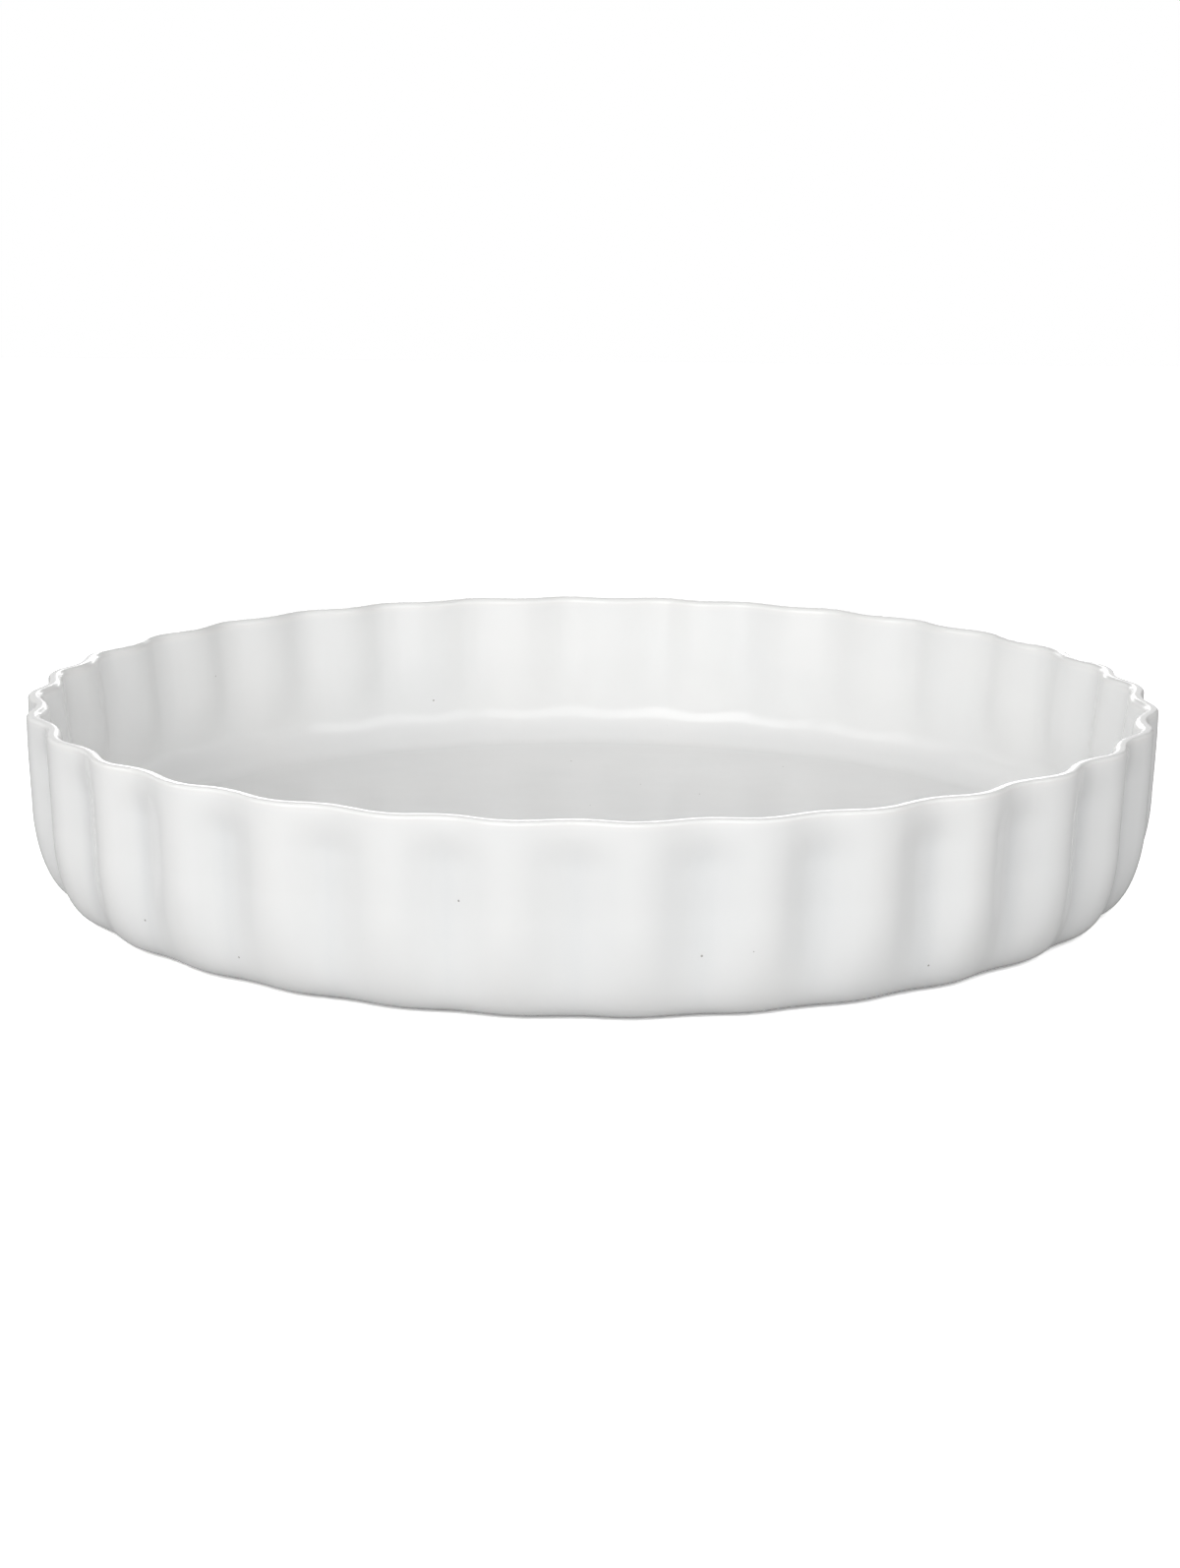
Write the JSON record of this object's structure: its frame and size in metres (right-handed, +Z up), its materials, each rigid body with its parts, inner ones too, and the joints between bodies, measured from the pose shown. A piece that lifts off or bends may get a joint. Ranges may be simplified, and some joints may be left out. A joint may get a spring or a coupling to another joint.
{
  "type": "fluted quiche dish",
  "caption": "Shallow round porcelain baking dish with a flat floor, an upright fluted wall, a rounded lip and a bare foot ring.",
  "frame": {"origin": "middle of the foot ring's resting face, on the surface that the dish stands on", "axes": "+Z up through the open mouth; the crest of one flute lies over +X, and another over +Y"},
  "size_m": [0.28, 0.28, 0.046],
  "materials": {
    "glazed_porcelain": "smooth glossy white glaze"
  },
  "bodies": {
    "root": {"porcelain_dish": "glazed_porcelain"}
  },
  "joints": []
}
